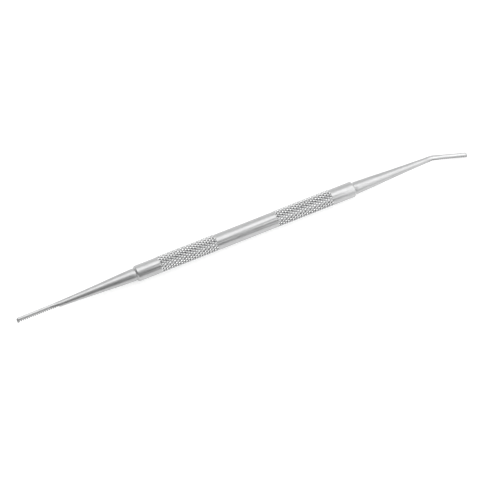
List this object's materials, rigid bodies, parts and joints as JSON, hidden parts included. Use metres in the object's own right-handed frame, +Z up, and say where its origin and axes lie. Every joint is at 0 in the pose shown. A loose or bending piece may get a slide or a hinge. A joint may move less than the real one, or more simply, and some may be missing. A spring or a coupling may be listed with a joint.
{
  "type": "double-ended nail file",
  "caption": "Slim double-ended hand file: a knurled round steel handle with a straight toothed tip in one end and an angled toothed tip in the other.",
  "frame": {"origin": "on the handle's axis at the middle of its length", "axes": "+X along the handle's axis towards the angled file; +Z up as the tool lies on a table, which is 2.95 mm below the origin; the bend and both tooth faces point to -Y and down"},
  "size_m": [0.1652, 0.0063, 0.0059],
  "materials": {
    "handle_steel": "satin, fine turning lines round the axis, bright knurl crests",
    "file_steel": "satin, finely ground along the taper, darker between the teeth"
  },
  "bodies": {
    "root": {"handle": "handle_steel", "straight_file": "file_steel", "angled_file": "file_steel"}
  },
  "joints": []
}
